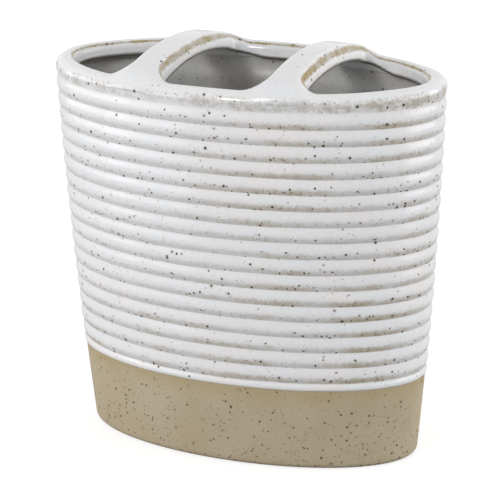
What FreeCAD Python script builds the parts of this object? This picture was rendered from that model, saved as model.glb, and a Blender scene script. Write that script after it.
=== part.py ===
import FreeCAD, Part
import math
import os

from FreeCAD import Vector

# Oval toothbrush holder in glazed stoneware. Millimetres, +Z up, standing on Z = 0.
# X runs along the oval, Y through its depth, and the front faces -Y.

# Oval outline, half axes measured over the crests of the glazed ribs
FOOT_HALF_LENGTH = 49.2
FOOT_HALF_DEPTH = 24.75
RIM_HALF_LENGTH = 57.2
RIM_HALF_DEPTH = 30.3
WALL_SWELL = 0.85

# Heights, stacked from the foot upwards
BARE_BAND_HEIGHT = 23.6
BEAD_HEIGHT = 2.4
RIB_PITCH = 4.48
RIB_COUNT = 17
COLLAR_HEIGHT = 4.9

# Thickness of the clay, of its floor and of the two glaze coats
CLAY_THICKNESS = 2.7
FLOOR_THICKNESS = 3.0
OUTER_GLAZE_THICKNESS = 0.4
GLAZE_EDGE_THICKNESS = 0.2
LINER_GLAZE_THICKNESS = 0.4

# Turned grooves, foot ring and rounded edges of the cup
GROOVE_DEPTH = 0.45
FOOT_EDGE_RADIUS = 1.8
FOOT_RING_WIDTH = 6.0
FOOT_RECESS_DEPTH = 2.0
CAVITY_CORNER_RADIUS = 6.0

# Rolled rim
LIP_OVERHANG = 1.2
LIP_OUTER_RADIUS = 2.8
LIP_CREST_WIDTH = 0.3
COLLAR_SWELL_HEIGHT = 1.2

# Arched straps across the mouth, and the flared lugs that carry them
BRIDGE_SPACING = 40.6
BRIDGE_WIDTH = 10.1
BRIDGE_THICKNESS = 4.9
BRIDGE_RISE = 6.0
BRIDGE_EDGE_RADIUS = 1.5
BRIDGE_JOINT_REACH = 13.0
FLARE_RADIUS = 5.0
SHOULDER_REACH = 12.0

# How finely curved profiles are stepped
RIB_STEPS = 6
ARC_STEPS = 5
WALL_STEPS = 6
LUG_STEPS = 12

# Sizes that follow from the ones above
FIRST_GROOVE_HEIGHT = BARE_BAND_HEIGHT + BEAD_HEIGHT
SEAT_HEIGHT = FIRST_GROOVE_HEIGHT + RIB_COUNT * RIB_PITCH
RIM_HEIGHT = SEAT_HEIGHT + COLLAR_HEIGHT
LIP_WIDTH = OUTER_GLAZE_THICKNESS + CLAY_THICKNESS + LINER_GLAZE_THICKNESS + LIP_OVERHANG
LIP_INNER_RADIUS = LIP_WIDTH - LIP_OUTER_RADIUS - LIP_CREST_WIDTH
LIP_ROUND_START = RIM_HEIGHT - LIP_OUTER_RADIUS
BRIDGE_OFFSET = BRIDGE_SPACING / 2
BRIDGE_CROWN = RIM_HEIGHT + BRIDGE_RISE
ARCH_RADIUS = (RIM_HALF_DEPTH**2 + BRIDGE_RISE**2) / (2 * BRIDGE_RISE)
ARCH_AXIS_HEIGHT = BRIDGE_CROWN - ARCH_RADIUS
QUARTER_TURN = math.pi / 2
FRONT = -1
BACK = 1


def steps(count):
    """Shares from 0 to 1 in equal steps, both ends included."""
    return [index / count for index in range(count + 1)]


# Solids closed around level ovals, from lists of heights and insets

def half_axes(height, inset):
    """Half length and half depth of the oval at a height, moved inwards by an inset."""
    share = height / RIM_HEIGHT
    swell = WALL_SWELL * 4 * share * (1 - share)
    half_length = FOOT_HALF_LENGTH + (RIM_HALF_LENGTH - FOOT_HALF_LENGTH) * share + swell - inset
    half_depth = FOOT_HALF_DEPTH + (RIM_HALF_DEPTH - FOOT_HALF_DEPTH) * share + swell - inset
    return half_length, half_depth


def oval(height, inset):
    half_length, half_depth = half_axes(height, inset)
    return Part.Wire(Part.Ellipse(Vector(0, 0, height), half_length, half_depth).toShape())


def wall_faces(profile):
    """Faces of a wall that rises or falls through the profile's ovals."""
    return Part.makeLoft([oval(*level) for level in profile], False, True).Faces


def level_face(*levels):
    """Flat face inside one oval, or between two at the same height."""
    return Part.makeFace([oval(*level) for level in levels], "Part::FaceMakerBullseye").Faces


def sewn_solid(faces):
    shell = Part.makeShell(faces)
    shell.sewShape()
    solid = Part.Solid(shell)
    if solid.Volume < 0:
        solid.reverse()
    return solid


def rib_profile(depth):
    """The bead's crest and the turned ribs up to the collar's seat, at a depth under their surface."""
    profile = [(BARE_BAND_HEIGHT + BEAD_HEIGHT / 2, depth)]
    for rib in range(RIB_COUNT):
        groove = FIRST_GROOVE_HEIGHT + rib * RIB_PITCH
        for share in steps(RIB_STEPS)[:-1]:
            crest = 4 * share * (1 - share)
            profile.append((groove + share * RIB_PITCH, depth + GROOVE_DEPTH * (1 - crest)))
    profile.append((SEAT_HEIGHT, depth + GROOVE_DEPTH))
    return profile


# The cup: foot ring, bare band, ribs under the glaze, and the cavity

def cavity_profile(coat):
    """Inside of the cup from the floor's edge up to the seat, less a coat of glaze."""
    floor = FOOT_RECESS_DEPTH + FLOOR_THICKNESS + coat
    inset = OUTER_GLAZE_THICKNESS + CLAY_THICKNESS + coat
    radius = CAVITY_CORNER_RADIUS - coat
    profile = []
    for share in steps(ARC_STEPS):
        turn = share * QUARTER_TURN
        profile.append((floor + radius * (1 - math.cos(turn)), inset + radius * (1 - math.sin(turn))))
    wall_foot = floor + radius
    for share in steps(WALL_STEPS)[1:]:
        profile.append((wall_foot + (SEAT_HEIGHT - wall_foot) * share, inset))
    return profile


def make_clay_body():
    face = []
    for share in steps(ARC_STEPS):
        turn = share * QUARTER_TURN
        rise = FOOT_EDGE_RADIUS * (1 - math.cos(turn))
        face.append((rise, OUTER_GLAZE_THICKNESS + FOOT_EDGE_RADIUS * (1 - math.sin(turn))))
    face.append((BARE_BAND_HEIGHT, OUTER_GLAZE_THICKNESS))
    face += rib_profile(OUTER_GLAZE_THICKNESS)
    recess_inset = OUTER_GLAZE_THICKNESS + FOOT_EDGE_RADIUS + FOOT_RING_WIDTH
    recess = [(0, recess_inset), (FOOT_RECESS_DEPTH, recess_inset)]
    inside = cavity_profile(0)
    faces = wall_faces(face) + wall_faces(recess) + wall_faces(inside)
    faces += level_face(face[0], recess[0]) + level_face(recess[-1])
    faces += level_face(face[-1], inside[-1]) + level_face(inside[0])
    return sewn_solid(faces)


# The coats of glaze, which follow the clay outside and inside

def make_outer_glaze():
    edge_inset = OUTER_GLAZE_THICKNESS - GLAZE_EDGE_THICKNESS
    face = [(BARE_BAND_HEIGHT, edge_inset)] + rib_profile(0)
    back = [(BARE_BAND_HEIGHT, OUTER_GLAZE_THICKNESS)] + rib_profile(OUTER_GLAZE_THICKNESS)
    faces = wall_faces(face) + wall_faces(back)
    faces += level_face(face[0], back[0]) + level_face(face[-1], back[-1])
    return sewn_solid(faces)


def make_liner_glaze():
    back = cavity_profile(0)
    face = cavity_profile(LINER_GLAZE_THICKNESS)
    faces = wall_faces(back) + wall_faces(face)
    faces += level_face(back[0]) + level_face(face[0]) + level_face(back[-1], face[-1])
    return sewn_solid(faces)


# The rolled rim, which sits on the wall and both coats

def collar_face():
    """Outer face of the collar, from its seat up to where the lip rounds over."""
    swell_height = min(COLLAR_SWELL_HEIGHT, (COLLAR_HEIGHT - LIP_OUTER_RADIUS) / 2)
    return [(SEAT_HEIGHT, GROOVE_DEPTH), (SEAT_HEIGHT + swell_height, 0), (LIP_ROUND_START, 0)]


def rounded_over(rise, reach):
    """Quarter oval that closes the collar's outer face, a rise high and a reach deep."""
    profile = []
    for share in steps(ARC_STEPS)[1:]:
        turn = share * QUARTER_TURN
        profile.append((LIP_ROUND_START + rise * math.sin(turn), reach * (1 - math.cos(turn))))
    return profile


def make_rim_ring():
    face = collar_face() + rounded_over(LIP_OUTER_RADIUS, LIP_OUTER_RADIUS)
    mouth = [(SEAT_HEIGHT, LIP_WIDTH)]
    for share in steps(ARC_STEPS):
        turn = share * QUARTER_TURN
        drop = LIP_INNER_RADIUS * (1 - math.sin(turn))
        mouth.append((RIM_HEIGHT - drop, LIP_WIDTH - LIP_INNER_RADIUS * (1 - math.cos(turn))))
    faces = wall_faces(face) + wall_faces(mouth)
    faces += level_face(face[0], mouth[0]) + level_face(face[-1], mouth[-1])
    return sewn_solid(faces)


# The straps: rounded oblongs swept along an arch, spread into lugs where they meet the rim

def mouth_depth(x):
    """Half depth of the mouth at a distance along the oval."""
    half_length, half_depth = half_axes(RIM_HEIGHT, LIP_WIDTH)
    return half_depth * math.sqrt(1 - (x / half_length)**2)


def flare(reach, side_x):
    """How far a strap's edge has spread at a reach from the middle of the arch."""
    start = mouth_depth(side_x) - FLARE_RADIUS
    along = min(max(reach - start, 0), FLARE_RADIUS)
    return FLARE_RADIUS - math.sqrt(FLARE_RADIUS**2 - along**2)


def strap_section(reach, middle_x, end):
    """Section square to the arch. Its lower sides spread with the flare and slope up to the strap's top."""
    tilt = end * math.asin(reach / ARCH_RADIUS)
    top = ARCH_RADIUS
    bottom = ARCH_RADIUS - BRIDGE_THICKNESS
    radius = BRIDGE_EDGE_RADIUS
    lip_level = (RIM_HEIGHT - LIP_INNER_RADIUS - ARCH_AXIS_HEIGHT) / math.cos(tilt)
    lowest_shoulder = bottom + BRIDGE_THICKNESS / 2
    shoulder = max(lip_level, lowest_shoulder)

    def point(x, distance):
        return Vector(x, distance * math.sin(tilt), ARCH_AXIS_HEIGHT + distance * math.cos(tilt))

    def rounded_corner(x, distance, x_way, up_way):
        """Arc from the strap's side to its top or underside."""
        bulge = radius * (1 - math.sqrt(0.5))
        return Part.Arc(point(x, distance + up_way * radius),
                        point(x + x_way * bulge, distance + up_way * bulge),
                        point(x + x_way * radius, distance))

    half_edges = []
    for x_way in (1, -1):
        core_x = middle_x - x_way * BRIDGE_WIDTH / 2
        side_x = core_x - x_way * flare(reach, core_x - x_way * FLARE_RADIUS)
        lower = rounded_corner(side_x, bottom, x_way, 1)
        upper = rounded_corner(core_x, top, x_way, -1)
        shoulder_point = point(side_x, shoulder)
        side = Part.LineSegment(lower.StartPoint, shoulder_point)
        slope = Part.LineSegment(shoulder_point, upper.StartPoint)
        half_edges.append((lower, side, slope, upper))
    left, right = half_edges
    crown = Part.LineSegment(left[-1].EndPoint, right[-1].EndPoint)
    underside = Part.LineSegment(right[0].EndPoint, left[0].EndPoint)
    outline = list(left) + [crown] + list(reversed(right)) + [underside]
    return Part.Wire([edge.toShape() for edge in outline])


def make_lug(middle_x, end, envelope):
    """Flared root of a strap, from the strap's joint out to the collar's outer face."""
    sections = []
    for share in steps(LUG_STEPS):
        reach = BRIDGE_JOINT_REACH + (RIM_HALF_DEPTH - BRIDGE_JOINT_REACH) * share
        sections.append(strap_section(reach, middle_x, end))
    return Part.makeLoft(sections, True, True).common(envelope)


def make_rim_collar():
    face = collar_face() + rounded_over(BRIDGE_CROWN - LIP_ROUND_START, SHOULDER_REACH)
    envelope = sewn_solid(wall_faces(face) + level_face(face[0]) + level_face(face[-1]))
    lugs = []
    for middle_x in (-BRIDGE_OFFSET, BRIDGE_OFFSET):
        for end in (FRONT, BACK):
            lugs.append(make_lug(middle_x, end, envelope))
    return make_rim_ring().fuse(lugs)


def make_bridge(middle_x):
    section = Part.Face(strap_section(BRIDGE_JOINT_REACH, middle_x, FRONT))
    swing = 2 * math.degrees(math.asin(BRIDGE_JOINT_REACH / ARCH_RADIUS))
    return section.revolve(Vector(0, 0, ARCH_AXIS_HEIGHT), Vector(-1, 0, 0), swing)


pieces = {
    "clay_body": make_clay_body(),
    "outer_glaze": make_outer_glaze(),
    "liner_glaze": make_liner_glaze(),
    "rim_collar": make_rim_collar(),
    "left_bridge": make_bridge(-BRIDGE_OFFSET),
    "right_bridge": make_bridge(BRIDGE_OFFSET),
}

os.makedirs("parts", exist_ok=True)
for name, shape in pieces.items():
    shape.exportStep("parts/" + name + ".step")
    print(name, len(shape.Solids), "solid,", round(shape.Volume), "mm3, valid", shape.isValid())
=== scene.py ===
import math

import bmesh
import bpy
import numpy as np
from mathutils import Matrix, Vector


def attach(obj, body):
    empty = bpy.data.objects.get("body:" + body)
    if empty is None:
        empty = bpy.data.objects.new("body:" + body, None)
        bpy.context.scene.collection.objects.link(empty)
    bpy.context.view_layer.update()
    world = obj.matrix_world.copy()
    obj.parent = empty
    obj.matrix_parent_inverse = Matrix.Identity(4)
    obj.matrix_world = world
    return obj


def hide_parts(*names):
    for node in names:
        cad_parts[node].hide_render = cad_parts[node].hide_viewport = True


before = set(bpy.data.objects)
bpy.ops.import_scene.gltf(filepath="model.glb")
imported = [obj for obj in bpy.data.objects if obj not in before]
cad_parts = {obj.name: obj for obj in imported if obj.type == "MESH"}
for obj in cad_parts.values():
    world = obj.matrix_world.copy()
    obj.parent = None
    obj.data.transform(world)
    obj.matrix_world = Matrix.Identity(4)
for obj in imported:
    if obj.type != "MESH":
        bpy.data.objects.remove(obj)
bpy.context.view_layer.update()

# Clay body: an oval cup cast in tan stoneware, flaring upwards, with a low foot ring under its floor.
# The clay stays bare and matte on a band above the foot, and carries the glaze and the rim above it.

MM = 0.001
FOOT_HALF_LENGTH = 49.2 * MM
FOOT_HALF_DEPTH = 24.75 * MM
RIM_HALF_LENGTH = 57.2 * MM
RIM_HALF_DEPTH = 30.3 * MM
RIM_HEIGHT = 107.06 * MM
WALL_SWELL = 0.85 * MM
COLLAR_HEIGHT = 4.9 * MM
SEAT_HEIGHT = RIM_HEIGHT - COLLAR_HEIGHT
BARE_BAND_HEIGHT = 23.6 * MM
BARE_INSET = 0.4 * MM
GLAZE_BACK_INSET = 1.6 * MM
COAT_STEP_FOOT = BARE_BAND_HEIGHT + 0.5 * MM
COAT_STEP_TOP = BARE_BAND_HEIGHT + 1.2 * MM
CLAY_BACK_INSET = 3.1 * MM
FOOT_EDGE_RADIUS = 1.8 * MM
FOOT_RING_WIDTH = 6.0 * MM
FOOT_BEVEL = 0.4 * MM
FOOT_RECESS_DEPTH = 2.0 * MM
FOOT_RECESS_DRAFT = 0.5 * MM
FLOOR_TOP = 5.0 * MM
FLOOR_CORNER_RADIUS = 6.0 * MM
BAND_FIRST_ROW = 3 * MM
WALL_FIRST_ROW = 30 * MM
INSIDE_FIRST_ROW = 20 * MM
FOOT_EDGE_ROWS = 10
BAND_ROWS = 10
WALL_ROWS = 8
FLOOR_CORNER_ROWS = 6
OVAL_SEGMENTS = 440
FULL_TURN = 2 * math.pi
QUARTER_TURN = math.pi / 2
OVAL_TURNS = np.linspace(0, FULL_TURN, OVAL_SEGMENTS, endpoint=False)
CLAY_SHINE = 0.3


def half_axes(height, inset):
    """Half length and half depth of the oval at a height, moved inwards by an inset."""
    share = height / RIM_HEIGHT
    swell = WALL_SWELL * 4 * share * (1 - share)
    half_length = FOOT_HALF_LENGTH + (RIM_HALF_LENGTH - FOOT_HALF_LENGTH) * share + swell - inset
    half_depth = FOOT_HALF_DEPTH + (RIM_HALF_DEPTH - FOOT_HALF_DEPTH) * share + swell - inset
    return half_length, half_depth


def oval_rows(heights, insets):
    """Points of level ovals, one row for each height. Both may vary round the oval."""
    heights = np.broadcast_to(heights, (len(heights), OVAL_SEGMENTS))
    half_length, half_depth = half_axes(heights, insets)
    return np.stack((half_length * np.cos(OVAL_TURNS), half_depth * np.sin(OVAL_TURNS), heights), axis=2)


def lathe_rows(profile):
    """Rows of points for a plain list of heights and insets."""
    heights, insets = np.array(profile).T
    return oval_rows(heights[:, None], insets[:, None])


def wall_rows(inset, low, high, count):
    """Heights spaced evenly up a wall, all at one inset."""
    return [(height, inset) for height in np.linspace(low, high, count)]


def quarter_round(height, inset, radius, count):
    """Rounded edge from a level floor out to a wall: it starts at the height, and ends at the inset."""
    turns = np.linspace(0, QUARTER_TURN, count)
    return [(height + radius * (1 - math.cos(turn)), inset + radius * (1 - math.sin(turn))) for turn in turns]


def mesh_from_rows(name, rows, joined, creases=()):
    """Mesh over rows of oval points. The last row joins the first, or else both are closed by a flat face."""
    count = len(rows)
    index = np.arange(count * OVAL_SEGMENTS).reshape(count, OVAL_SEGMENTS)
    lower = index if joined else index[:-1]
    upper = np.roll(index, -1, axis=0) if joined else index[1:]
    quads = np.stack((lower, np.roll(lower, -1, axis=1), np.roll(upper, -1, axis=1), upper), axis=2)
    faces = quads.reshape(-1, 4).tolist()
    if not joined:
        faces += [index[0, ::-1].tolist(), index[-1].tolist()]
    mesh = bpy.data.meshes.new(name)
    mesh.from_pydata(rows.reshape(-1, 3).tolist(), [], faces)
    mesh.shade_smooth()
    corners = np.empty(len(mesh.edges) * 2, dtype=int)
    mesh.edges.foreach_get("vertices", corners)
    first_row, second_row = corners.reshape(-1, 2).T // OVAL_SEGMENTS
    sharp = (first_row == second_row) & np.isin(first_row, [row % count for row in creases])
    mesh.attributes.new("sharp_edge", "BOOLEAN", "EDGE").data.foreach_set("value", sharp)
    mesh.update()
    return mesh


def surface_value(mesh, name, values):
    """Stores one number for each vertex, which a material reads by name."""
    layer = mesh.attributes.new(name, "FLOAT", "POINT")
    layer.data.foreach_set("value", np.asarray(values, dtype=np.float32).ravel())


def add_piece(mesh, material, node):
    """Stands a finished piece in the place of its solid, with its material."""
    piece = bpy.data.objects.new(mesh.name, mesh)
    bpy.context.scene.collection.objects.link(piece)
    mesh.materials.append(material)
    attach(piece, "root")
    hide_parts(node)


class Shading:
    """A node tree with short calls for adding nodes and joining them."""

    MIX_COLOUR_INPUTS = (0, 6, 7)
    MIX_COLOUR_OUTPUT = 2

    def __init__(self, tree):
        self.tree = tree

    def add(self, kind, settings=None, **inputs):
        """New node with its settings, and with its inputs fed by name."""
        node = self.tree.nodes.new(kind)
        for name, value in (settings or {}).items():
            setattr(node, name, value)
        for name, value in inputs.items():
            self.feed(node.inputs[name.replace("_", " ")], value)
        return node

    def feed(self, socket, value):
        """Joins another node's output to a socket, or sets the socket to a plain value."""
        if isinstance(value, bpy.types.NodeSocket):
            self.tree.links.new(value, socket)
        else:
            socket.default_value = value

    def feed_all(self, sockets, values):
        """Feeds several sockets in their order."""
        for socket, value in zip(sockets, values):
            self.feed(socket, value)

    def math(self, operation, *values, clamp=False):
        """Result of an operation on numbers, plain or from other nodes."""
        node = self.add("ShaderNodeMath", {"operation": operation, "use_clamp": clamp})
        self.feed_all(node.inputs, values)
        return node.outputs[0]

    def vector_math(self, operation, *values):
        """Node for an operation on vectors."""
        node = self.add("ShaderNodeVectorMath", {"operation": operation})
        self.feed_all(node.inputs, values)
        return node

    def scaled(self, vector, scale):
        """A vector times a number."""
        node = self.vector_math("SCALE", vector)
        self.feed(node.inputs["Scale"], scale)
        return node.outputs[0]

    def ramp(self, value, low, high, to_low=0.0, to_high=1.0):
        """Smooth step of a value from low to high."""
        node = self.add("ShaderNodeMapRange", {"interpolation_type": "SMOOTHSTEP"})
        self.feed_all(node.inputs, (value, low, high, to_low, to_high))
        return node.outputs[0]

    def mix(self, factor, first, second, amount=None):
        """Colour between the first and the second, by a factor of which only an amount may count."""
        if amount is not None:
            factor = self.math("MULTIPLY", factor, amount)
        node = self.add("ShaderNodeMix", {"data_type": "RGBA"})
        self.feed_all([node.inputs[number] for number in self.MIX_COLOUR_INPUTS], (factor, first, second))
        return node.outputs[self.MIX_COLOUR_OUTPUT]

    def noise(self, place, size, detail=2.0, roughness=0.5):
        """Noise whose lumps are about the given size across."""
        node = self.add("ShaderNodeTexNoise", Vector=place, Scale=1 / size, Detail=detail,
                        Roughness=roughness)
        return node.outputs[0]

    def object_place(self):
        """Place on the piece in metres, by which its patterns are laid out."""
        return self.add("ShaderNodeTexCoord").outputs["Object"]


def shader_group(name, inputs, outputs):
    """Empty node group with named number inputs and outputs, and its input and output nodes."""
    tree = bpy.data.node_groups.new(name, "ShaderNodeTree")
    for label, value in inputs.items():
        socket = tree.interface.new_socket(label, in_out="INPUT", socket_type="NodeSocketFloat")
        socket.default_value = value
    for label in outputs:
        tree.interface.new_socket(label, in_out="OUTPUT", socket_type="NodeSocketFloat")
    shading = Shading(tree)
    return tree, shading, shading.add("NodeGroupInput"), shading.add("NodeGroupOutput")


def new_material(name):
    """Material with a Principled BSDF, and the tools to build the rest of its nodes."""
    material = bpy.data.materials.new(name)
    material.use_nodes = True
    shading = Shading(material.node_tree)
    return material, shading, material.node_tree.nodes["Principled BSDF"]


def make_specks_group():
    """Iron specks: ragged dots of many sizes with wider stains. Crowding, 0 to 1, is the share that shows."""
    ragged_size = 0.6 * MM
    ragged_reach = 0.35 * MM
    size_bias = 2.0
    least_size = 0.5
    core_share = 0.7
    stain_spread = 2.4
    inputs = {"Spacing": 2.2 * MM, "Radius": 0.35 * MM, "Crowding": 1.0, "Tallness": 1.0}
    tree, shading, given, result = shader_group("iron_specks", inputs, ("Dots", "Stains"))
    place = shading.object_place()
    ragged = shading.add("ShaderNodeTexNoise", Vector=place, Scale=1 / ragged_size, Detail=2.0)
    shake = shading.scaled(ragged.outputs["Color"], ragged_reach)
    shaken = shading.vector_math("ADD", place, shake).outputs[0]
    split = shading.add("ShaderNodeSeparateXYZ", Vector=shaken)
    flattened = shading.math("DIVIDE", split.outputs[2], given.outputs["Tallness"])
    joined = shading.add("ShaderNodeCombineXYZ", X=split.outputs[0], Y=split.outputs[1], Z=flattened)
    cells = shading.scaled(joined.outputs[0], shading.math("DIVIDE", 1.0, given.outputs["Spacing"]))
    grains = shading.add("ShaderNodeTexVoronoi", Vector=cells, Scale=1.0, Randomness=1.0)
    draw = shading.add("ShaderNodeSeparateColor", Color=grains.outputs["Color"])
    size_draw, crowd_draw, stain_draw = draw.outputs
    largest = shading.math("DIVIDE", given.outputs["Radius"], given.outputs["Spacing"])
    size = shading.math("POWER", size_draw, size_bias)
    size = shading.math("MULTIPLY_ADD", size, 1 - least_size, least_size)
    size = shading.math("MULTIPLY", size, largest)
    present = shading.math("LESS_THAN", crowd_draw, given.outputs["Crowding"])
    distance = grains.outputs["Distance"]
    core = shading.math("MULTIPLY", size, core_share)
    dot = shading.ramp(distance, low=size, high=core)
    shading.feed(result.inputs["Dots"], shading.math("MULTIPLY", dot, present))
    stain = shading.ramp(distance, low=shading.math("MULTIPLY", size, stain_spread), high=core)
    stain = shading.math("MULTIPLY", stain, stain_draw)
    shading.feed(result.inputs["Stains"], shading.math("MULTIPLY", stain, present))
    return tree


specks_group = make_specks_group()


def add_specks(shading, **values):
    """Places the iron specks in a material, and gives their dots and their stains."""
    node = shading.add("ShaderNodeGroup", {"node_tree": specks_group}, **values)
    return node.outputs["Dots"], node.outputs["Stains"]


def make_bare_clay():
    """Matte tan clay with soft clouds, ochre below the glaze, iron grit that gathers towards the foot, and
    painted shade along the foot's bottom edge.
    """
    clay = (0.475, 0.395, 0.27, 1)
    pale_clay = (0.505, 0.43, 0.308, 1)
    ochre = (0.43, 0.34, 0.18, 1)
    rust = (0.42, 0.25, 0.09, 1)
    speck_brown = (0.075, 0.05, 0.025, 1)
    faint_brown = (0.22, 0.16, 0.085, 1)
    ochre_reach = 6 * MM
    ochre_wander = 6 * MM
    speck_share = 0.75
    material, shading, surface = new_material("bare_stoneware")
    place = shading.object_place()
    height = shading.add("ShaderNodeSeparateXYZ", Vector=place).outputs[2]
    cloud = shading.ramp(shading.noise(place, size=14 * MM, detail=3.0), low=0.35, high=0.7)
    colour = shading.mix(cloud, clay, pale_clay)
    wander = shading.math("MULTIPLY_ADD", shading.noise(place, size=8 * MM), ochre_wander, -ochre_wander / 2)
    under_glaze = shading.ramp(shading.math("ADD", height, wander),
                               low=BARE_BAND_HEIGHT - ochre_reach, high=COAT_STEP_FOOT)
    colour = shading.mix(under_glaze, colour, ochre, amount=0.6)
    blotch = shading.ramp(shading.noise(place, size=5 * MM), low=0.66, high=0.82)
    colour = shading.mix(blotch, colour, rust, amount=0.25)
    low_down = shading.ramp(height, low=22 * MM, high=2 * MM, to_low=0.45)
    grit, grit_stains = add_specks(shading, Spacing=0.95 * MM, Radius=0.27 * MM, Crowding=low_down)
    colour = shading.mix(grit_stains, colour, pale_clay, amount=0.2)
    colour = shading.mix(grit, colour, faint_brown, amount=0.7)
    crowding = shading.math("MULTIPLY", low_down, speck_share)
    dots, stains = add_specks(shading, Spacing=1.35 * MM, Radius=0.42 * MM, Crowding=crowding)
    colour = shading.mix(stains, colour, faint_brown, amount=0.25)
    colour = shading.mix(dots, colour, speck_brown, amount=0.9)
    # Painted shade: a brown line along the bottom edge, where the holder meets the floor.
    foot_contact_shade = shading.ramp(height, low=0.9 * MM, high=0.1 * MM, to_high=0.6)
    colour = shading.mix(foot_contact_shade, colour, faint_brown)
    shading.feed(surface.inputs["Base Color"], colour)
    fine = shading.noise(place, size=0.5 * MM, detail=3.0, roughness=0.7)
    roughness = shading.ramp(fine, low=0.3, high=0.7, to_low=0.78, to_high=0.92)
    shading.feed(surface.inputs["Roughness"], roughness)
    surface.inputs["Specular IOR Level"].default_value = CLAY_SHINE
    tooth = shading.add("ShaderNodeBump", Height=fine, Strength=0.3, Distance=0.05 * MM)
    shading.feed(surface.inputs["Normal"], tooth.outputs[0])
    return material


foot_inset = BARE_INSET + FOOT_EDGE_RADIUS + FOOT_RING_WIDTH
clay_profile = [(FOOT_RECESS_DEPTH, foot_inset + FOOT_RECESS_DRAFT)]
clay_profile += [(FOOT_BEVEL, foot_inset), (0.0, foot_inset - FOOT_BEVEL)]
clay_profile += quarter_round(0.0, BARE_INSET, FOOT_EDGE_RADIUS, FOOT_EDGE_ROWS)
clay_profile += wall_rows(BARE_INSET, BAND_FIRST_ROW, BARE_BAND_HEIGHT, BAND_ROWS)
clay_profile += [(COAT_STEP_FOOT, BARE_INSET), (COAT_STEP_TOP, GLAZE_BACK_INSET)]
clay_profile += wall_rows(GLAZE_BACK_INSET, WALL_FIRST_ROW, SEAT_HEIGHT, WALL_ROWS)
clay_inside = quarter_round(FLOOR_TOP, CLAY_BACK_INSET, FLOOR_CORNER_RADIUS, FLOOR_CORNER_ROWS)
clay_inside += wall_rows(CLAY_BACK_INSET, INSIDE_FIRST_ROW, SEAT_HEIGHT, WALL_ROWS)
clay_profile += clay_inside[::-1]
clay_mesh = mesh_from_rows("clay_body_fired", lathe_rows(clay_profile), joined=False)
add_piece(clay_mesh, make_bare_clay(), "clay_body")

# Outer glaze: a thick glossy white coat over turned ribs, dipped down to a line above the foot.
# It pools to a rolled bead at that line, and thins to tan and lets iron specks through above each groove.
# Its grey and tan on the lower, down-facing flank of each rib are partly painted shade.

BEAD_HEIGHT = 2.4 * MM
BEAD_ROWS = 8
BEAD_LIP_LIFT = 0.05 * MM
BEAD_LIP_INSET = 0.1 * MM
BEAD_TUCK_SHARE = 0.35
BEAD_TUCK_POWER = 2.5
BEAD_CREST_SHARE = 0.4
RIB_COUNT = 17
FIRST_GROOVE_HEIGHT = BARE_BAND_HEIGHT + BEAD_HEIGHT
RIB_PITCH = (SEAT_HEIGHT - FIRST_GROOVE_HEIGHT) / RIB_COUNT
GROOVE_DEPTH = 0.45 * MM
GROOVE_SOFTNESS = 0.3
RIB_SAG = 0.82
RIB_SHARES = (0, 0.05, 0.1, 0.17, 0.26, 0.37, 0.5, 0.63, 0.76, 0.88, 0.96)
CREST_SHARE = 0.5
GLAZE_BACK_MIDDLE = 60 * MM
GLAZE_BACK_ROWS = (SEAT_HEIGHT, GLAZE_BACK_MIDDLE, COAT_STEP_TOP)
SEAT_EDGE_ROWS = (-4, -3)
BACK_FOOT_ROW = -1
GROOVE_SEED, GROOVE_LOBES, GROOVE_WANDER = 11, (2, 3, 5, 9), 0.16 * MM
DEPTH_SEED, DEPTH_LOBES, DEPTH_WANDER = 12, (1, 3, 4, 7), 0.25
EDGE_SEED, EDGE_LOBES, EDGE_WANDER = 13, (3, 7, 13, 22), 0.1 * MM
LINE_SEED, LINE_LOBES, LINE_WANDER = 14, (2, 5, 9, 17, 31), 1.6
LINE_MEAN = 0.35
LOBE_LEAST = 0.4
LINE_REACH = 0.08
LINE_STRENGTH = 0.24
THIN_AND_SHADE_STRETCH = (0.08, 0.58)
SEAT_THINNESS = 0.3
TAN_SIDE = math.radians(-46)
TAN_SPREAD = math.radians(38)
TAN_LEAST = 0.06
LOW_TAN = 0.7
LOW_TAN_RIBS = (1, 6)
GLAZE_IOR = 1.5
WARM_TINT = (1.03, 1.0, 0.975, 1)
HAZE_TINT = (0.92, 0.92, 0.92, 1)
OUTER_WHITE = (0.80, 0.808, 0.825, 1)


def smooth_step(value, low, high):
    """Smooth rise from 0 at low to 1 at high."""
    share = np.clip((value - low) / (high - low), 0, 1)
    return share * share * (3 - 2 * share)


def bell(offset, spread):
    """Smooth hump, 1 at no offset and falling away over a spread."""
    return np.exp(-((offset / spread) ** 2))


def rib_crest(share):
    """How far a rib stands out, from 0 in a groove to 1 on the crest. The rib hangs a little low."""
    wave = np.sin(math.pi * np.clip(share, 0, 1) ** RIB_SAG)
    softened = np.sqrt(wave**2 + GROOVE_SOFTNESS**2) - GROOVE_SOFTNESS
    return softened / (math.sqrt(1 + GROOVE_SOFTNESS**2) - GROOVE_SOFTNESS)


def thrown_wander(seed, rows, lobes):
    """Slow waves round the oval, another for each row, as a hand-turned tool leaves them."""
    draw = np.random.default_rng(seed)
    waves = np.zeros((rows, OVAL_SEGMENTS))
    for lobe in lobes:
        phase = draw.uniform(0, FULL_TURN, (rows, 1))
        waves += np.sin(lobe * OVAL_TURNS + phase) * draw.uniform(LOBE_LEAST, 1, (rows, 1))
    return waves / len(lobes)


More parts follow.
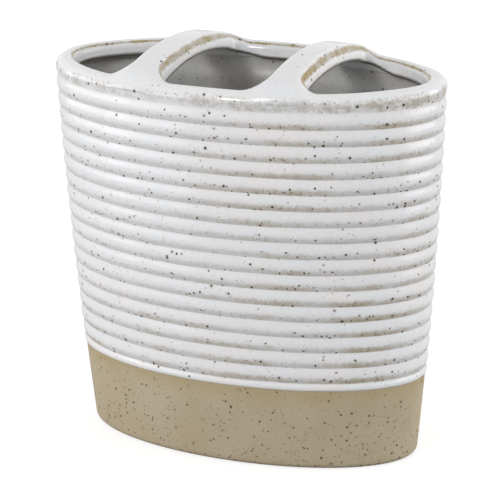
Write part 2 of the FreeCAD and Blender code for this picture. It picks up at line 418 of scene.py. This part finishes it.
def make_ribbed_rows():
    """Rows of points over bead and ribs, how thin the glaze lies there with painted shade on each rib's lower
    flank, and where it leaves a dark line of thin glaze and painted shade.
    """
    groove_wander = thrown_wander(GROOVE_SEED, RIB_COUNT + 1, GROOVE_LOBES) * GROOVE_WANDER
    groove_wander[-1] = 0
    grooves = FIRST_GROOVE_HEIGHT + RIB_PITCH * np.arange(RIB_COUNT + 1)[:, None] + groove_wander
    depth_wander = 1 + DEPTH_WANDER * thrown_wander(DEPTH_SEED, RIB_COUNT, DEPTH_LOBES)
    edge = BARE_BAND_HEIGHT + EDGE_WANDER * thrown_wander(EDGE_SEED, 1, EDGE_LOBES)[0]
    line_wander = LINE_MEAN + LINE_WANDER * thrown_wander(LINE_SEED, RIB_COUNT, LINE_LOBES)
    line_wander = np.clip(line_wander, 0, 1)
    rows = []

    def add_row(height, inset, thin=0.0, line=0.0):
        rows.append([np.broadcast_to(part, OVAL_SEGMENTS) for part in (height, inset, thin, line)])

    add_row(edge + BEAD_LIP_LIFT, BARE_INSET + BEAD_LIP_INSET)
    for share in np.linspace(0, 1, BEAD_ROWS, endpoint=False):
        under = BARE_INSET * np.clip(1 - share / BEAD_TUCK_SHARE, 0, 1) ** BEAD_TUCK_POWER
        past_crest = np.clip((share - BEAD_CREST_SHARE) / (1 - BEAD_CREST_SHARE), 0, 1)
        over = GROOVE_DEPTH * (1 - rib_crest(CREST_SHARE + (1 - CREST_SHARE) * past_crest))
        add_row(edge + (grooves[0] - edge) * share, under + over)
    for rib in range(RIB_COUNT):
        for share in RIB_SHARES:
            add_row(grooves[rib] + (grooves[rib + 1] - grooves[rib]) * share,
                    GROOVE_DEPTH * (1 - rib_crest(share) * depth_wander[rib]),
                    # The thin share on each rib's lower, down-facing flank also carries painted shade.
                    thin=1 - smooth_step(share, *THIN_AND_SHADE_STRETCH),
                    line=bell(share, LINE_REACH) * line_wander[rib])
    add_row(grooves[-1], GROOVE_DEPTH, thin=SEAT_THINNESS)
    for height in GLAZE_BACK_ROWS:
        add_row(height, GLAZE_BACK_INSET)
    heights, insets, thin_and_shade, lines = np.array(rows).transpose(1, 0, 2)
    return oval_rows(heights, insets), thin_and_shade, lines


def make_break_group():
    """Where a thin glaze breaks to the tan of the clay, and where it is given painted shade: in patches along
    its length, with a ragged edge.
    """
    inputs = {"Thinness": 0.0, "Lean": 1.0, "Patch Size": 14 * MM, "Patchiness": 0.8, "Raggedness": 0.2}
    tree, shading, given, result = shader_group("glaze_break", inputs, ("Thin", "Tan", "Rust"))
    place = shading.object_place()
    patch_scale = shading.math("DIVIDE", 1.0, given.outputs["Patch Size"])
    patches = shading.add("ShaderNodeTexNoise", Vector=place, Scale=patch_scale, Detail=3.0, Roughness=0.6)
    patch = shading.ramp(patches.outputs[0], low=0.4, high=0.62)
    grain_noise = shading.noise(place, size=0.9 * MM, roughness=0.6)
    grain = shading.ramp(grain_noise, low=0.3, high=0.7, to_low=-1.0)
    drift = shading.ramp(shading.noise(place, size=4 * MM), low=0.3, high=0.7, to_low=-1.0)
    ragged = shading.math("MULTIPLY", shading.math("ADD", grain, drift), given.outputs["Raggedness"])
    thin = given.outputs["Thinness"]
    worn = shading.ramp(shading.math("ADD", thin, ragged), low=0.1, high=0.95)
    worn = shading.math("MULTIPLY", worn, shading.ramp(thin, low=0.0, high=0.25))
    covered = shading.math("MULTIPLY", shading.math("SUBTRACT", 1.0, patch), given.outputs["Patchiness"])
    bare = shading.math("MULTIPLY", shading.math("SUBTRACT", 1.0, covered), given.outputs["Lean"])
    shading.feed(result.inputs["Thin"], worn)
    shading.feed(result.inputs["Tan"], shading.math("MULTIPLY", worn, bare, clamp=True))
    rust = shading.ramp(shading.noise(place, size=1.3 * MM), low=0.54, high=0.68)
    rust = shading.math("MULTIPLY", rust, bare)
    shading.feed(result.inputs["Rust"], shading.math("MULTIPLY", worn, rust, clamp=True))
    return tree


break_group = make_break_group()


def tinted(colour, tint):
    """A colour, each part times that of a tint."""
    return tuple(part * share for part, share in zip(colour, tint))


def make_white_glaze(name, white, thin_and_shade_grey, tan, patch_size, patchiness, raggedness, tan_amount, speck_floor,
                     dullness):
    """Glossy speckled white. The mesh says where the glaze lies thin, with painted shade, and where it has
    run off an edge, a dark line that is also painted shade.
    """
    rust_brown = (0.25, 0.17, 0.075, 1)
    run_off_and_shade_brown = (0.07, 0.048, 0.022, 1)
    speck_brown = (0.022, 0.016, 0.01, 1)
    stain_brown = (0.36, 0.28, 0.17, 1)
    faint_brown = (0.20, 0.16, 0.10, 1)
    speck_ceiling = 0.95
    material, shading, surface = new_material(name)
    place = shading.object_place()
    thin, lean, dark_line_shade = (shading.add("ShaderNodeAttribute", {"attribute_name": label}).outputs["Fac"]
                         for label in ("thin_glaze_and_shade", "tan_lean", "dark_line_and_shade"))
    cloud = shading.ramp(shading.noise(place, size=18 * MM), low=0.38, high=0.62)
    colour = shading.mix(cloud, white, tinted(white, WARM_TINT))
    mottle_noise = shading.noise(place, size=1.1 * MM, detail=3.0, roughness=0.65)
    mottle = shading.ramp(mottle_noise, low=0.45, high=0.75, to_high=0.7)
    colour = shading.mix(mottle, colour, tinted(white, HAZE_TINT))
    broken = shading.add("ShaderNodeGroup", {"node_tree": break_group}, Thinness=thin, Lean=lean,
                         Patch_Size=patch_size, Patchiness=patchiness, Raggedness=raggedness)
    colour = shading.mix(broken.outputs["Thin"], colour, thin_and_shade_grey)
    colour = shading.mix(broken.outputs["Tan"], colour, tan, amount=tan_amount)
    colour = shading.mix(broken.outputs["Rust"], colour, rust_brown, amount=0.6)
    # Painted shade, in part: a dark brown line in the grooves and under the lip's overhang.
    colour = shading.mix(dark_line_shade, colour, run_off_and_shade_brown)
    crowding = shading.math("MULTIPLY_ADD", thin, speck_ceiling - speck_floor, speck_floor)
    dots, stains = add_specks(shading, Spacing=1.65 * MM, Radius=0.5 * MM, Crowding=crowding)
    drips, drip_stains = add_specks(shading, Spacing=5.0 * MM, Radius=0.36 * MM, Crowding=0.5, Tallness=2.6)
    fine_dots, _ = add_specks(shading, Spacing=0.9 * MM, Radius=0.28 * MM, Crowding=crowding)
    colour = shading.mix(fine_dots, colour, faint_brown, amount=0.6)
    colour = shading.mix(shading.math("MAXIMUM", stains, drip_stains), colour, stain_brown, amount=0.3)
    colour = shading.mix(shading.math("MAXIMUM", dots, drips), colour, speck_brown, amount=0.92)
    shading.feed(surface.inputs["Base Color"], colour)
    sheen = shading.noise(place, size=3 * MM, detail=3.0)
    roughness = shading.ramp(sheen, low=0.3, high=0.7, to_low=dullness, to_high=dullness * 2)
    shading.feed(surface.inputs["Roughness"], roughness)
    surface.inputs["IOR"].default_value = GLAZE_IOR
    peel_noise = shading.noise(place, size=1.6 * MM)
    peel = shading.add("ShaderNodeBump", Height=peel_noise, Strength=0.12, Distance=0.12 * MM)
    shading.feed(surface.inputs["Normal"], peel.outputs[0])
    return material


rib_rows, rib_thin_and_shade, rib_lines = make_ribbed_rows()
rib_mesh = mesh_from_rows("outer_glaze_ribbed", rib_rows, joined=True,
                          creases=(*SEAT_EDGE_ROWS, BACK_FOOT_ROW))
off_tan_side = np.angle(np.exp(1j * (OVAL_TURNS - TAN_SIDE)))
side_lean = TAN_LEAST + (1 - TAN_LEAST) * bell(off_tan_side, TAN_SPREAD)
low_tan_heights = [FIRST_GROOVE_HEIGHT + count * RIB_PITCH for count in LOW_TAN_RIBS]
low_lean = LOW_TAN * (1 - smooth_step(rib_rows[:, :, 2], *low_tan_heights))
rib_lean = np.maximum(side_lean, low_lean)
surface_value(rib_mesh, "thin_glaze_and_shade", rib_thin_and_shade)
surface_value(rib_mesh, "tan_lean", rib_lean)
# A dark line in each groove, partly thin glaze and partly painted shade.
surface_value(rib_mesh, "dark_line_and_shade", LINE_STRENGTH * rib_lines * rib_lean)
# Painted shade, in part: the grey and tan given to the thin glaze darken each rib's lower flank.
rib_glaze = make_white_glaze("ribbed_white_glaze", white=OUTER_WHITE, thin_and_shade_grey=(0.70, 0.695, 0.712, 1),
                             tan=(0.46, 0.40, 0.29, 1), patch_size=24 * MM, patchiness=0.8, raggedness=0.14,
                             tan_amount=0.9, speck_floor=0.11, dullness=0.12)
add_piece(rib_mesh, rib_glaze, "outer_glaze")

# Liner glaze: the same white coat poured inside, over the wall and the floor.
# It is smooth, with the odd speck, and lies in the shade of the rim; its white, grey and tan are painted far
# darker than the outer coat, as painted shade for the dim inside.

LINER_THICKNESS = 0.4 * MM
LINER_FIRST_ROW = 14 * MM
LINER_ROWS = 12
LINER_CORNER_ROWS = 8


def liner_side(depth):
    """Floor corner and wall of the coat, at a depth into the cup from its clay."""
    inset = CLAY_BACK_INSET + depth
    corner = quarter_round(FLOOR_TOP + depth, inset, FLOOR_CORNER_RADIUS - depth, LINER_CORNER_ROWS)
    return corner + wall_rows(inset, LINER_FIRST_ROW, SEAT_HEIGHT, LINER_ROWS)


liner_profile = liner_side(0.0) + liner_side(LINER_THICKNESS)[::-1]
liner_mesh = mesh_from_rows("liner_glaze_poured", lathe_rows(liner_profile), joined=False)
# Painted shade: the liner's white, grey and tan are dark greys that stand for the shade inside the cup.
liner_glaze = make_white_glaze("liner_glaze_painted_shade", white=(0.47, 0.47, 0.46, 1), thin_and_shade_grey=(0.42, 0.42, 0.41, 1),
                               tan=(0.34, 0.30, 0.22, 1), patch_size=13 * MM, patchiness=0.9, raggedness=0.1,
                               tan_amount=0.5, speck_floor=0.35, dullness=0.25)
add_piece(liner_mesh, liner_glaze, "liner_glaze")

# Rim collar: a thick rolled lip luted on top of the wall, overhanging inwards, with lugs for the straps.
# It is modelled in clay as one soft form with the straps, dipped with them, and glazed over without a seam.

LIP_WIDTH = 4.7 * MM
LIP_OUTER_RADIUS = 3.2 * MM
LIP_INNER_RADIUS = 1.9 * MM
LIP_UNDER_RADIUS = 0.6 * MM
LIP_LEAST_RADIUS = 0.01 * MM
LIP_END_EXTRA = 0.7 * MM
LIP_END_STRETCH = (34 * MM, 52 * MM)
LIP_RIGHT_STRETCH = (40 * MM, 54 * MM)
LIP_ROLL_STRETCH = (SEAT_HEIGHT + 0.2 * MM, SEAT_HEIGHT + 2.2 * MM)
LIP_UNDER_RISE = 0.15 * MM
LIP_ROOT_DEPTH = 1.2 * MM
LIP_ROOT_STRETCH = (CLAY_BACK_INSET - 0.5 * MM, CLAY_BACK_INSET + 0.5 * MM)
LIP_FACE_STRETCH = (SEAT_HEIGHT - 0.6 * MM, SEAT_HEIGHT + 2.6 * MM)
LIP_FACE_FULLNESS = 0.9
STRAP_OFFSET = 20.3 * MM
STRAP_WIDTH = 10.1 * MM
STRAP_THICKNESS = 4.9 * MM
STRAP_CROWN = 113.06 * MM
STRAP_JOINT_REACH = 13.0 * MM
STRAP_EXTRA_RADIUS = 1.4 * MM
STRAP_SHOULDER = (-2.5 * MM, 5.5 * MM)
STRAP_LIFT_STRETCH = (-0.5 * MM, 5.5 * MM)
STRAP_NEAR_STRETCH = (1 * MM, 11 * MM)
STRAP_CORNER_STRETCH = (-1.2 * MM, 0.2 * MM)
STRAP_CORNER_LIFT = 0.8
HAND_SWING = 0.1 * MM
HAND_WAVE_ALONG = 9 * MM
HAND_WAVE_ACROSS = 7 * MM
HAND_WAVE_SLANT = 13 * MM
HAND_WAVE_PHASE = 1.0
HOLE_CORNER_RADIUS = 5.0 * MM
BACK_CORNER_LESS = 2.4 * MM
BACK_CORNER_STRETCH = (4 * MM, 14 * MM)
HOLE_TAPER = 0.2
ARCH_RADIUS = (RIM_HALF_DEPTH**2 + (STRAP_CROWN - RIM_HEIGHT) ** 2) / (2 * (STRAP_CROWN - RIM_HEIGHT))
ARCH_AXIS_HEIGHT = STRAP_CROWN - ARCH_RADIUS
JOINT_LEAN = math.asin(STRAP_JOINT_REACH / ARCH_RADIUS)
LIP_STEP = 0.45 * MM
LIP_GRID_LOW = np.array((-59.5 * MM, -32.5 * MM, SEAT_HEIGHT - 2.5 * MM))
LIP_GRID_HIGH = np.array((59.5 * MM, 32.5 * MM, STRAP_CROWN + 1.5 * MM))
SLOPE_REACH = 0.02 * MM
LEAST_SLOPE = 0.2
SNAP_ROUNDS = 4
INSET_ROUNDS = 14
INSET_LEAST = -20 * MM
INSET_AXIS_GAP = 3 * MM
TINY = 1e-9
CUT_TOLERANCE = 1e-7
SEAT_TOLERANCE = 1e-6
EDGE_STRENGTH = 1.3
EDGE_WIDTH = 0.45 * MM
EDGE_STRAP_EXTRA = 0.35 * MM
EDGE_STRAP_STRETCH = (0.3, 0.8)
EDGE_FADE = (-2.4 * MM, -1.0 * MM)
COLLAR_SHADE_STRENGTH = 0.5
COLLAR_SHADE_RIGHT_EXTRA = 0.14
COLLAR_SHADE_RIGHT_STRETCH = (-5 * MM, 20 * MM)
BAND_HEIGHT = 104.1 * MM
COLLAR_SHADE_SPREAD = 2.1 * MM
COLLAR_SHADE_FADE = (-1.2 * MM, -0.3 * MM)
COLLAR_LEAN = 0.32
PALE_DROP = 0.28
PALE_PLACE = -15 * MM
PALE_SPREAD = 15 * MM
RIGHT_LEAN_EXTRA = 0.16
RIGHT_LEAN_STRETCH = (18 * MM, 40 * MM)
RUN_OFF_AND_SHADE_STRENGTH = 0.9
RUN_OFF_AND_SHADE_RISE = (-1.05 * MM, -0.45 * MM)
RUN_OFF_AND_SHADE_FADE = (-1.2 * MM, -0.3 * MM)


def rounded_join(first, second, radius):
    """Inside of both shapes, with the edge where they meet rounded."""
    over = np.hypot(np.maximum(radius + first, 0), np.maximum(radius + second, 0))
    return np.minimum(-radius, np.maximum(first, second)) + over


def filleted_union(first, second, radius):
    """Inside of either shape, with the corner between them filled to a radius."""
    gap = np.hypot(np.maximum(radius - first, 0), np.maximum(radius - second, 0))
    return np.maximum(radius, np.minimum(first, second)) - gap


def inset_at(x, y, z):
    """How far a point lies inside the oval's outline at its height."""
    half_length, half_depth = half_axes(z, 0.0)
    inset = np.zeros_like(x)
    for _ in range(INSET_ROUNDS):
        along = half_length - inset
        across = half_depth - inset
        reach = np.sqrt((x / along) ** 2 + (y / across) ** 2) + TINY
        slope = (x**2 / along**3 + y**2 / across**3) / reach + TINY
        inset = np.clip(inset - (reach - 1) / slope, INSET_LEAST, half_depth - INSET_AXIS_GAP)
    return inset


def lip_fields(points):
    """Signed distances that shape lip and straps: above the top, into a hole, out of the rim, under it."""
    x, y, z = points
    inset = inset_at(x, y, z)
    into_mouth = inset - LIP_WIDTH - LIP_END_EXTRA * smooth_step(np.abs(x), *LIP_END_STRETCH)
    beside_strap = np.abs(np.abs(x) - STRAP_OFFSET) - STRAP_WIDTH / 2
    corner_radius = HOLE_CORNER_RADIUS - BACK_CORNER_LESS * smooth_step(y, *BACK_CORNER_STRETCH)
    into_hole = filleted_union(into_mouth, beside_strap, corner_radius)
    on_strap = 1 - smooth_step(beside_strap, *STRAP_SHOULDER)
    arch_top = ARCH_AXIS_HEIGHT + np.sqrt(ARCH_RADIUS**2 - y**2)
    hand = np.sin(x / HAND_WAVE_ALONG + HAND_WAVE_PHASE) + np.sin(y / HAND_WAVE_ACROSS + x / HAND_WAVE_SLANT)
    top = RIM_HEIGHT + np.maximum(arch_top - RIM_HEIGHT, 0) * on_strap + HAND_SWING * hand
    into_hole = into_hole - HOLE_TAPER * np.clip(top - z, 0, STRAP_THICKNESS)
    arch_under = ARCH_AXIS_HEIGHT + np.sqrt((ARCH_RADIUS - STRAP_THICKNESS) ** 2 - y**2)
    on_lip = 1 - smooth_step(into_mouth, *STRAP_LIFT_STRETCH)
    near_strap = 1 - smooth_step(beside_strap, *STRAP_NEAR_STRETCH)
    on_lip *= 1 - STRAP_CORNER_LIFT * near_strap * smooth_step(into_mouth, *STRAP_CORNER_STRETCH)
    lip_under = SEAT_HEIGHT + LIP_UNDER_RISE
    under = lip_under + (arch_under - lip_under) * (1 - on_lip)
    under -= LIP_ROOT_DEPTH * (1 - smooth_step(inset, *LIP_ROOT_STRETCH))
    face = GROOVE_DEPTH * (1 - smooth_step(z, *LIP_FACE_STRETCH)) / LIP_FACE_FULLNESS
    face = np.minimum(face, GROOVE_DEPTH)
    return z - top, into_hole, face - inset, under - z, on_strap


def lip_distance(points):
    """Signed distance to the form of lip and straps, with all its edges rolled."""
    above, into_hole, outside, below, on_strap = lip_fields(points)
    edge = rounded_join(above, into_hole, LIP_INNER_RADIUS)
    edge = rounded_join(edge, below, LIP_UNDER_RADIUS)
    rolled = smooth_step(points[2], *LIP_ROLL_STRETCH)
    at_end = smooth_step(-points[0], *LIP_END_STRETCH) - smooth_step(points[0], *LIP_RIGHT_STRETCH)
    radius = LIP_OUTER_RADIUS + LIP_END_EXTRA * at_end + STRAP_EXTRA_RADIUS * on_strap
    return rounded_join(edge, outside, radius * rolled + LIP_LEAST_RADIUS)


def gradient(points):
    """Slope of the lip's distance at each point."""
    slope = np.empty_like(points)
    for axis in range(3):
        shift = np.zeros((3, 1))
        shift[axis] = SLOPE_REACH
        slope[axis] = (lip_distance(points + shift) - lip_distance(points - shift)) / (2 * SLOPE_REACH)
    return slope


def surface_net(distance, origin, step):
    """Points and quads of the surface where a grid of distances changes sign."""
    inside = distance < 0
    corners = [(i, j, k) for i in (0, 1) for j in (0, 1) for k in (0, 1)]
    shape = np.array(distance.shape) - 1

    def corner(grid, at):
        return grid[at[0]:at[0] + shape[0], at[1]:at[1] + shape[1], at[2]:at[2] + shape[2]]

    filled = sum(corner(inside, at).astype(np.int8) for at in corners)
    cells = np.argwhere((filled > 0) & (filled < len(corners)))
    number = np.full(shape, -1)
    number[tuple(cells.T)] = np.arange(len(cells))
    total = np.zeros((len(cells), 3))
    crossings = np.zeros(len(cells))
    for start in corners:
        for axis in range(3):
            if start[axis]:
                continue
            end = list(start)
            end[axis] = 1
            near = distance[tuple((cells + start).T)]
            far = distance[tuple((cells + end).T)]
            crossed = (near < 0) != (far < 0)
            share = np.where(crossed, near / np.where(crossed, near - far, 1), 0)
            place = np.tile(np.array(start, float), (len(cells), 1))
            place[:, axis] = share
            total += place * crossed[:, None]
            crossings += crossed
    points = (cells + total / crossings[:, None]) * step + origin
    unit_steps = np.eye(3, dtype=int)
    core = inside[1:-1, 1:-1, 1:-1]
    quads = []
    for axis, ahead in enumerate(unit_steps):
        step_one = unit_steps[(axis + 1) % 3]
        step_two = unit_steps[(axis + 2) % 3]
        next_core = inside[tuple(slice(1 + go, size - 1 + go) for go, size in zip(ahead, inside.shape))]
        edges = np.argwhere(core != next_core) + 1
        leaving = inside[tuple(edges.T)]
        ring = [edges - step_one - step_two, edges - step_two, edges, edges - step_one]
        quad = np.stack([number[tuple(at.T)] for at in ring], axis=1)
        quad[~leaving] = quad[~leaving][:, ::-1]
        quads.append(quad)
    return points, np.concatenate(quads)


def make_lip_form():
    """The whole soft form of lip and straps as one closed mesh, drawn tight to its exact surface."""
    axes = [np.arange(start, end, LIP_STEP) for start, end in zip(LIP_GRID_LOW, LIP_GRID_HIGH)]
    grid = np.stack(np.meshgrid(*axes, indexing="ij"))
    distance = lip_distance(grid.reshape(3, -1)).reshape(grid.shape[1:])
    points, quads = surface_net(distance, LIP_GRID_LOW, LIP_STEP)
    points = points.T
    for _ in range(SNAP_ROUNDS):
        slope = gradient(points)
        points = points - lip_distance(points) * slope / np.maximum((slope**2).sum(0), LEAST_SLOPE)
    return points.T, quads


def beyond_joint(point):
    """How far a point lies past the plane where a strap is luted to its lugs."""
    return abs(point.y) * math.cos(JOINT_LEAN) - (point.z - ARCH_AXIS_HEIGHT) * math.sin(JOINT_LEAN)


def slice_through(shape, height, normal, **options):
    """Cuts all of a shape's faces along a plane through the upright axis."""
    everything = shape.verts[:] + shape.edges[:] + shape.faces[:]
    bmesh.ops.bisect_plane(shape, geom=everything, dist=CUT_TOLERANCE, plane_co=(0, 0, height),
                           plane_no=normal, **options)


def cut_piece(name, points, quads, keep):
    """Closed piece of the lip's form, cut at the joint planes and kept where a test of face centres holds."""
    shape = bmesh.new()
    corners = [shape.verts.new(point) for point in points]
    for quad in quads:
        shape.faces.new([corners[index] for index in quad])
    for way in (-1, 1):
        slice_through(shape, ARCH_AXIS_HEIGHT, (0, way * math.cos(JOINT_LEAN), -math.sin(JOINT_LEAN)))
    slice_through(shape, SEAT_HEIGHT, (0, 0, 1), clear_inner=True)
    dropped = [face for face in shape.faces if not keep(face.calc_center_median())]
    bmesh.ops.delete(shape, geom=dropped, context="FACES")
    seated = [edge for edge in shape.edges if edge.is_boundary
              and all(abs(vert.co.z - SEAT_HEIGHT) < SEAT_TOLERANCE for vert in edge.verts)]
    capped = bmesh.ops.bridge_loops(shape, edges=seated)["faces"] if seated else []
    open_edges = [edge for edge in shape.edges if edge.is_boundary]
    capped += bmesh.ops.holes_fill(shape, edges=open_edges, sides=0)["faces"]
    bmesh.ops.recalc_face_normals(shape, faces=shape.faces[:])
    shape.faces.index_update()
    caps = {face.index for face in capped}
    mesh = bpy.data.meshes.new(name)
    shape.to_mesh(mesh)
    shape.free()
    points = np.empty(len(mesh.vertices) * 3)
    mesh.vertices.foreach_get("co", points)
    points = points.reshape(-1, 3).T
    set_exact_normals(mesh, points, caps)
    thin_lip_glaze(mesh, points)
    return mesh


def set_exact_normals(mesh, points, caps):
    """Normals from the form itself, so that pieces meet without a seam, with flat caps at the joints."""
    slope = gradient(points)
    normals = (slope / np.linalg.norm(slope, axis=0)).T
    corner_normals = []
    for face in mesh.polygons:
        flat = face.index in caps
        corner_normals += [face.normal if flat else normals[index] for index in face.vertices]
    mesh.shade_smooth()
    mesh.normals_split_custom_set(corner_normals)


def thin_lip_glaze(mesh, points):
    """Where the glaze lies thin on the rolled edges of the holes, and a band of painted shade, with some tan,
    round the collar's face under its roll.
    """
    above, into_hole, outside, below, on_strap = lip_fields(points)
    along = points[0]
    edge_width = EDGE_WIDTH + EDGE_STRAP_EXTRA * smooth_step(on_strap, *EDGE_STRAP_STRETCH)
    edge = EDGE_STRENGTH * bell(into_hole - above, edge_width) * smooth_step(into_hole, *EDGE_FADE)
    # Painted shade, in part: a grey band round the collar's face under its roll, with some tan.
    band = COLLAR_SHADE_STRENGTH + COLLAR_SHADE_RIGHT_EXTRA * smooth_step(along, *COLLAR_SHADE_RIGHT_STRETCH)
    band = band * bell(points[2] - BAND_HEIGHT, COLLAR_SHADE_SPREAD) * smooth_step(outside, *COLLAR_SHADE_FADE)
    collar_lean = COLLAR_LEAN - PALE_DROP * bell(along - PALE_PLACE, PALE_SPREAD)
    collar_lean += RIGHT_LEAN_EXTRA * smooth_step(along, *RIGHT_LEAN_STRETCH)
    # Painted shadow, in part: a dark line along the lip's lower edge, under its overhang.
    run_off_and_shade = smooth_step(below, *RUN_OFF_AND_SHADE_RISE) * smooth_step(into_hole, *RUN_OFF_AND_SHADE_FADE)
    surface_value(mesh, "thin_glaze_and_shade", np.maximum(edge, band))
    surface_value(mesh, "tan_lean", np.where(edge > band, 1, collar_lean))
    surface_value(mesh, "dark_line_and_shade", RUN_OFF_AND_SHADE_STRENGTH * run_off_and_shade)


def on_collar(centre):
    """Whether a face belongs to the collar: past the joints, or away from the straps."""
    return beyond_joint(centre) > 0 or abs(abs(centre.x) - STRAP_OFFSET) > STRAP_WIDTH


lip_points, lip_quads = make_lip_form()
# The rim's grey is darker still, as painted shade in the collar's band under the roll.
lip_glaze = make_white_glaze("rim_white_glaze", white=OUTER_WHITE, thin_and_shade_grey=(0.60, 0.59, 0.60, 1),
                             tan=(0.38, 0.295, 0.12, 1), patch_size=9 * MM, patchiness=0.55, raggedness=0.2,
                             tan_amount=0.95, speck_floor=0.08, dullness=0.07)
collar_mesh = cut_piece("rim_collar_glazed", lip_points, lip_quads, on_collar)
add_piece(collar_mesh, lip_glaze, "rim_collar")

# Bridges: two arched straps of clay that divide the mouth in three, luted to the collar's lugs.
# They share the collar's soft form, so that the glaze runs on over both.

for side, node in ((-1, "left_bridge"), (1, "right_bridge")):
    def on_bridge(centre):
        near = abs(centre.x - side * STRAP_OFFSET) < STRAP_WIDTH
        return near and beyond_joint(centre) < 0

    bridge_mesh = cut_piece(node + "_glazed", lip_points, lip_quads, on_bridge)
    add_piece(bridge_mesh, lip_glaze, node)

# Stage: a plain pale floor that takes the holder's soft shadow.
# What the camera and reflections see of it is lifted towards white, and it sheds little light of its own.

FLOOR_SIZE = 6.0
FLOOR_GREY = (0.4, 0.4, 0.4, 1)
FLOOR_ROUGHNESS = 0.9
FLOOR_GLOW = 0.72
FLOOR_MIRRORED_GLOW = 0.35
WHITE = (1, 1, 1, 1)


def make_floor():
    """Level square under the holder. Its glow shows only to the camera, through glass and in reflections."""
    mesh = bpy.data.meshes.new("floor")
    half = FLOOR_SIZE / 2
    corners = [(-half, -half, 0), (half, -half, 0), (half, half, 0), (-half, half, 0)]
    mesh.from_pydata(corners, [], [(0, 1, 2, 3)])
    floor = bpy.data.objects.new("floor", mesh)
    bpy.context.scene.collection.objects.link(floor)
    material, shading, surface = new_material("white_floor")
    surface.inputs["Base Color"].default_value = FLOOR_GREY
    surface.inputs["Roughness"].default_value = FLOOR_ROUGHNESS
    surface.inputs["Specular IOR Level"].default_value = 0.0
    surface.inputs["Emission Color"].default_value = WHITE
    rays = shading.add("ShaderNodeLightPath").outputs
    seen = shading.math("MAXIMUM", rays["Is Camera Ray"], rays["Is Transmission Ray"])
    mirrored = shading.math("MULTIPLY", rays["Is Glossy Ray"], FLOOR_MIRRORED_GLOW)
    glow = shading.math("MULTIPLY_ADD", seen, FLOOR_GLOW, mirrored)
    shading.feed(surface.inputs["Emission Strength"], glow)
    mesh.materials.append(material)


make_floor()

# Light: a white room, with soft panels at the left, the left front, the right and the back.
# A small softbox in front leaves the highlights along the lip, and the back panel is kept out of reflections.

ROOM_LIGHT = 0.55
BACKDROP_LIGHT = 1.0

world = bpy.data.worlds.new("white_room")
bpy.context.scene.world = world
world.use_nodes = True
room = Shading(world.node_tree)
room.tree.nodes.clear()
rays = room.add("ShaderNodeLightPath").outputs
shown = room.math("MAXIMUM", rays["Is Camera Ray"], rays["Is Transmission Ray"])
shown = room.math("MAXIMUM", shown, rays["Is Glossy Ray"])
lit = room.add("ShaderNodeBackground", Color=WHITE, Strength=ROOM_LIGHT)
backdrop = room.add("ShaderNodeBackground", Color=WHITE, Strength=BACKDROP_LIGHT)
choice = room.add("ShaderNodeMixShader")
room.feed_all(choice.inputs, (shown, lit.outputs[0], backdrop.outputs[0]))
room.add("ShaderNodeOutputWorld", Surface=choice.outputs[0])


def away_from_front(azimuth, elevation):
    """Direction from the holder. Azimuth 0 is in front, and turns towards the right."""
    level = math.cos(elevation)
    return Vector((math.sin(azimuth) * level, -math.cos(azimuth) * level, math.sin(elevation)))


def add_panel(name, azimuth, elevation, distance, width, height, power, mirrored=True):
    """Soft panel that faces the holder, at angles in degrees and a distance in metres."""
    lamp = bpy.data.lights.new(name, "AREA")
    lamp.shape = "RECTANGLE"
    lamp.size = width
    lamp.size_y = height
    lamp.energy = power
    panel = bpy.data.objects.new(name, lamp)
    away = away_from_front(math.radians(azimuth), math.radians(elevation))
    panel.location = Vector((0, 0, RIM_HEIGHT / 2)) + away * distance
    panel.rotation_euler = away.to_track_quat("Z", "Y").to_euler()
    panel.visible_glossy = mirrored
    bpy.context.scene.collection.objects.link(panel)


add_panel("left_panel", azimuth=-76, elevation=0, distance=1.0, width=0.9, height=0.5, power=3.0)
add_panel("left_front_panel", azimuth=-46, elevation=6, distance=1.0, width=0.6, height=0.5, power=1.9)
add_panel("front_softbox", azimuth=-14, elevation=30, distance=1.0, width=0.18, height=0.28, power=2.8)
add_panel("right_panel", azimuth=106, elevation=8, distance=1.2, width=1.2, height=0.9, power=11.0)
add_panel("back_panel", azimuth=190, elevation=15, distance=1.2, width=1.2, height=0.9, power=4.0,
          mirrored=False)

# Camera: a long lens from the front right, a little above the rim.
# Its place, aim and slight roll are fitted to the grooves, the rim and the outline that it shows.

CAMERA_AZIMUTH = math.radians(25.09)
CAMERA_ELEVATION = math.radians(18.04)
CAMERA_ROLL = -0.0198
CAMERA_DISTANCE = 697.2 * MM
CAMERA_AIM = Vector((0, 0, 53.9 * MM))
CAMERA_SIDESTEP = -0.1 * MM
SENSOR_WIDTH = 36.0
LENS = 180.2

camera_data = bpy.data.cameras.new("camera")
camera_data.sensor_width = SENSOR_WIDTH
camera_data.lens = LENS
camera = bpy.data.objects.new("camera", camera_data)
bpy.context.scene.collection.objects.link(camera)
back = away_from_front(CAMERA_AZIMUTH, CAMERA_ELEVATION)
level = Vector((math.cos(CAMERA_AZIMUTH), math.sin(CAMERA_AZIMUTH), 0))
upright = back.cross(level)
right = level * math.cos(CAMERA_ROLL) + upright * math.sin(CAMERA_ROLL)
up = upright * math.cos(CAMERA_ROLL) - level * math.sin(CAMERA_ROLL)
stand = CAMERA_AIM + back * CAMERA_DISTANCE + right * CAMERA_SIDESTEP
camera.matrix_world = Matrix.Translation(stand) @ Matrix((right, up, back)).transposed().to_4x4()
bpy.context.scene.camera = camera
bpy.context.scene.view_settings.view_transform = "Standard"
